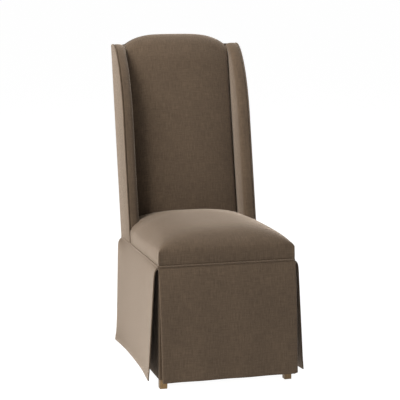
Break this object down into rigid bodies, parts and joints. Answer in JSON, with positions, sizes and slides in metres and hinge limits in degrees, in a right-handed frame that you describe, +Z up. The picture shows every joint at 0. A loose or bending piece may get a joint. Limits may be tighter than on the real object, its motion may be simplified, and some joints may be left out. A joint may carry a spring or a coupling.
{
  "type": "wingback dining chair",
  "caption": "Upholstered dining chair with an arched, leaning back between two padded wings, a crowned tight seat and a floor-length skirt with corner pleats.",
  "frame": {"origin": "on the floor under the middle of the chair's bounding box", "axes": "+Z up, -Y towards the front of the chair, +X to the right as seen from in front"},
  "size_m": [0.562, 0.7928, 1.1837],
  "materials": {
    "cover_fabric": "fine slubbed linen weave in warm taupe brown",
    "lining_fabric": "plain weave pleat underlay in the same taupe",
    "leg_wood": "satin golden brown",
    "frame_wood": "unfinished sawn hardwood",
    "foam": "open-cell cushion foam",
    "webbing": "woven elastic webbing",
    "burlap": "coarse plain weave",
    "card": "grey-brown fibreboard",
    "screw_steel": "zinc plated",
    "cambric": "thin black dust cloth"
  },
  "bodies": {
    "root": {"front_leg_left": "leg_wood", "front_leg_right": "leg_wood", "rear_leg_left": "leg_wood", "rear_leg_right": "leg_wood", "front_seat_rail": "frame_wood", "rear_seat_rail": "frame_wood", "left_seat_rail": "frame_wood", "right_seat_rail": "frame_wood", "seat_rail_dowels": "frame_wood", "corner_block_front_left": "frame_wood", "corner_block_front_right": "frame_wood", "corner_block_rear_left": "frame_wood", "corner_block_rear_right": "frame_wood", "corner_block_screws": "screw_steel", "back_top_rail": "frame_wood", "back_lower_rail": "frame_wood", "back_rail_dowels": "frame_wood", "wing_frame_left": "frame_wood", "wing_frame_right": "frame_wood", "wing_frame_screws": "screw_steel", "seat_webbing_cross": "webbing", "seat_webbing_long": "webbing", "seat_deck_cloth": "burlap", "seat_foam": "foam", "seat_cover": "cover_fabric", "back_webbing_cross": "webbing", "back_webbing_long": "webbing", "back_burlap": "burlap", "back_foam": "foam", "inside_back_cover": "cover_fabric", "outside_back_board": "card", "outside_back_cover": "cover_fabric", "wing_pad_left": "foam", "wing_pad_right": "foam", "wing_inner_cover_left": "cover_fabric", "wing_inner_cover_right": "cover_fabric", "wing_outer_cover_left": "cover_fabric", "wing_outer_cover_right": "cover_fabric", "skirt_piping": "cover_fabric", "skirt_tack_strips": "card", "skirt_front": "cover_fabric", "skirt_back": "cover_fabric", "skirt_left": "cover_fabric", "skirt_right": "cover_fabric", "pleat_underlay_front_left": "lining_fabric", "pleat_underlay_front_right": "lining_fabric", "pleat_underlay_rear_left": "lining_fabric", "pleat_underlay_rear_right": "lining_fabric", "dust_cover": "cambric"}
  },
  "joints": []
}
